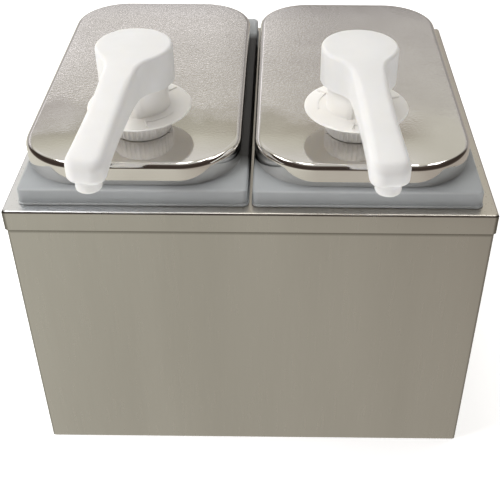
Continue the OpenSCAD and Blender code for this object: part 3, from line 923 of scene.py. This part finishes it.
def make_nozzle(side):
    """Short round nozzle with a rounded mouth and a spigot that goes up into the arm."""
    low, high = box_mm(f"nozzle_tip_{side}")
    outer, bore, lip, bottom_round, shoulder = 8.0, 5.0, 0.5, 2.4, DECK + BOSS_LOW
    profile = [(bore, low.z + lip)] + arc(bore + lip, low.z + lip, lip, 180, 270, 3)[1:]
    profile += arc(outer - bottom_round, low.z + bottom_round, bottom_round, 270, 360, 8)
    profile += [(outer, shoulder - 0.2), (outer - 0.2, shoulder), (SPIGOT_R, shoulder)]
    profile += [(SPIGOT_R, high.z), (bore, high.z)]
    shape = Shape()
    shape.lathe(profile, 64, centre_mm(f"nozzle_tip_{side}"))
    obj = new_object(f"spout_nozzle_{side}", shape.mesh("spout_nozzle"))
    place_piece(obj, f"head_{side}", WHITE, f"nozzle_tip_{side}")


# ---- Everything else keeps its CAD shape ----

def finish_cad_nodes():
    """Gives every CAD node the material of its slot."""
    materials = {"satin_steel": STEEL, "polished_steel": POLISHED, "frosted_plastic": FROSTED,
                 "white_plastic": WHITE, "silicone": SILICONE}
    slots = {part["node"]: part["material_slot"] for part in frame["record"]["subparts"]}
    for name, obj in frame["nodes"].items():
        obj.data.materials.clear()
        obj.data.materials.append(materials[slots[name]])


# ---- Studio ----

STAGE_HALF = 6000
WARM_WHITE = (1, 0.99, 0.98)


def counter_glow():
    """Glowing warm grey, darker to the right, for what the steel mirrors below it."""
    material = bpy.data.materials.new("counter")
    material.use_nodes = True
    tree = material.node_tree
    tree.nodes.clear()
    glow = tree.nodes.new("ShaderNodeEmission")
    across = remap(tree, coordinate(tree, "X"), -0.3, 0.35, 0, 1)
    tree.links.new(mix(tree, across, (0.70, 0.68, 0.60), (0.43, 0.39, 0.34)), glow.inputs["Color"])
    out = tree.nodes.new("ShaderNodeOutputMaterial")
    tree.links.new(glow.outputs["Emission"], out.inputs["Surface"])
    return material


def stage_plane(name, z, material):
    """Wide level square that isn't part of the object."""
    half = STAGE_HALF
    shape = Shape()
    shape.points = [(-half, -half, z), (half, -half, z), (half, half, z), (-half, half, z)]
    shape.faces = [(0, 1, 2, 3)]
    obj = new_object(name, shape.mesh(name))
    obj.data.materials.append(material)
    return obj


def make_floor():
    """White floor, and the greyer counter that the steel reflects in its place."""
    white, _, shader = new_material("floor_white", (0.93, 0.93, 0.93), 0.9, Emission_Strength=0.6)
    shader.inputs["Emission Color"].default_value = (1, 1, 1, 1)
    floor = stage_plane("floor", 0, white)
    floor.visible_glossy = False
    counter = stage_plane("counter_reflection", -0.5, counter_glow())
    counter.visible_camera = False
    counter.visible_diffuse = False
    counter.visible_transmission = False
    counter.visible_shadow = False


def area_light(name, place, target, size, watts, colour=(1, 1, 1), size_y=None, mirrored=False):
    """Rectangular light at a place in metres, aimed at a target; only a mirrored one shows in gloss."""
    data = bpy.data.lights.new(name, "AREA")
    data.energy = watts
    data.color = colour
    data.shape = "RECTANGLE"
    data.size = size
    data.size_y = size_y or size
    obj = new_object(name, data)
    obj.location = place
    aim = Vector(target) - Vector(place)
    obj.rotation_euler = aim.to_track_quat("-Z", "Y").to_euler()
    obj.visible_glossy = mirrored


def make_lights():
    """Soft key from the left, weaker lights round it, and ceiling panels that the steel mirrors."""
    aim = (0, 0, 0.2)
    area_light("key", (-1.2, -0.3, 1.5), aim, 0.8, 18, WARM_WHITE)
    area_light("low_left", (-1.4, -0.7, 0.42), aim, 0.7, 4.5, WARM_WHITE)
    area_light("top", (-0.2, 0.2, 2.0), aim, 1.4, 4)
    area_light("fill", (1.1, -0.9, 0.6), aim, 0.9, 2.5)
    panels = [(-0.75, 0.45, 4), (-0.1, 0.22, 2), (0.35, 0.16, 1.5), (0.85, 0.4, 3.5)]
    for k, (x, length, watts) in enumerate(panels):
        area_light(f"ceiling_panel_{k}", (x, 0.4, 1.9), (x, 0.4, 0), length, watts, size_y=0.8,
                   mirrored=True)


def ramp(tree, value, stops):
    """Colour ramp through (position, colour) stops."""
    node = tree.nodes.new("ShaderNodeValToRGB")
    elements = node.color_ramp.elements
    while len(elements) > 1:
        elements.remove(elements[-1])
    elements[0].position, elements[0].color = stops[0][0], (*stops[0][1], 1)
    for position, colour in stops[1:]:
        elements.new(position).color = (*colour, 1)
    tree.links.new(value, node.inputs["Fac"])
    return node.outputs["Color"]


# The room that the steel mirrors, as (sine of the elevation, colour) from the floor to the ceiling
ROOM_LEFT = [
    (0.0, (0.40, 0.38, 0.36)), (0.34, (0.62, 0.60, 0.60)), (0.365, (2.0, 1.95, 1.95)),
    (0.378, (0.50, 0.48, 0.48)), (0.40, (1.3, 1.25, 1.24)), (0.412, (0.52, 0.49, 0.48)),
    (0.45, (0.48, 0.45, 0.42)), (0.478, (0.80, 0.78, 0.76)), (0.482, (0.36, 0.34, 0.28)),
    (0.53, (0.62, 0.60, 0.51))]
ROOM_RIGHT = [
    (0.0, (0.40, 0.38, 0.36)), (0.34, (0.30, 0.28, 0.27)), (0.365, (1.3, 1.26, 1.25)),
    (0.375, (0.24, 0.23, 0.21)), (0.40, (0.52, 0.50, 0.48)), (0.415, (0.34, 0.32, 0.30)),
    (0.45, (0.68, 0.66, 0.65)), (0.485, (0.74, 0.71, 0.68)), (0.489, (0.26, 0.22, 0.17)),
    (0.55, (0.55, 0.53, 0.45))]
ROOM_ABOVE = [(0.62, (0.78, 0.76, 0.73)), (0.78, (0.55, 0.53, 0.45)), (1.0, (0.6, 0.59, 0.55))]
ROOM_BEFORE = [
    (0.0, (0.32, 0.28, 0.24)), (0.12, (0.07, 0.055, 0.045)), (0.55, (0.04, 0.03, 0.025)),
    (0.93, (0.08, 0.06, 0.05)), (0.99, (0.6, 0.59, 0.55))]


def make_world():
    """Room for the steel to mirror: banded at the back, dark at the front, white where it is seen."""
    world = bpy.data.worlds.new("room")
    bpy.context.scene.world = world
    world.use_nodes = True
    tree = world.node_tree
    background = tree.nodes["Background"]
    coords = tree.nodes.new("ShaderNodeTexCoord")
    axes = tree.nodes.new("ShaderNodeSeparateXYZ")
    tree.links.new(coords.outputs["Generated"], axes.inputs["Vector"])
    clutter = tree.nodes.new("ShaderNodeTexNoise")
    clutter.inputs["Scale"].default_value = 9
    clutter.inputs["Detail"].default_value = 5
    tree.links.new(coords.outputs["Generated"], clutter.inputs["Vector"])
    shift = remap(tree, clutter.outputs["Fac"], 0.3, 0.7, -0.015, 0.015)
    height = calculate(tree, "ADD", axes.outputs["Z"], shift)
    left = ramp(tree, height, ROOM_LEFT + ROOM_ABOVE)
    right = ramp(tree, height, ROOM_RIGHT + ROOM_ABOVE)
    far_right = remap(tree, axes.outputs["X"], 0.1, 0.2, 0, 1)
    near = remap(tree, axes.outputs["Z"], 0.43, 0.47, 0, 1)
    right = mix(tree, calculate(tree, "MULTIPLY", far_right, near), right, (0.62, 0.60, 0.53))
    behind = mix(tree, remap(tree, axes.outputs["X"], -0.08, 0.05, 0, 1), left, right)
    before = ramp(tree, axes.outputs["Z"], ROOM_BEFORE)
    sideways = remap(tree, calculate(tree, "ABSOLUTE", axes.outputs["X"]), 0, 1, 0, -0.75)
    side = remap(tree, calculate(tree, "ADD", axes.outputs["Y"], sideways), -0.15, 0.1, 0, 1)
    room = mix(tree, side, before, behind)
    path = tree.nodes.new("ShaderNodeLightPath")
    seen = mix(tree, path.outputs["Is Camera Ray"], room, (1, 1, 1))
    tree.links.new(seen, background.inputs["Color"])
    background.inputs["Strength"].default_value = 1.0


def make_camera():
    """Camera at the photo's place, with its lens and tilt."""
    data = bpy.data.cameras.new("photo_camera")
    data.lens = CAMERA_LENS
    data.sensor_width = 36
    data.shift_x = CAMERA_SHIFT_X
    data.clip_start = 0.01
    camera = new_object("photo_camera", data)
    turn = Matrix((CAMERA_RIGHT, CAMERA_UP, CAMERA_BACK)).transposed().to_4x4()
    camera.matrix_world = Matrix.Translation(CAMERA_PLACE) @ turn
    bpy.context.scene.camera = camera


# ---- Build ----

def make_side(side):
    """One tub with its lid and pump; the pump's place and turn are read from the CAD nodes."""
    axis = centre_mm(f"closure_nut_{side}")
    tip = centre_mm(f"nozzle_tip_{side}")
    yaw = math.atan2(tip[0] - axis[0], axis[1] - tip[1])
    make_tub(side)
    make_lid(side, axis)
    make_nut(side, axis)
    make_collar(side, axis)
    make_spring(side, axis)
    make_head(side, axis, yaw)
    make_nozzle(side)


finish_cad_nodes()
make_housing_shell()
make_top_frame()
for pump in ("left", "right"):
    make_side(pump)
make_floor()
make_lights()
make_world()
make_camera()
bpy.context.scene.view_settings.view_transform = "Standard"
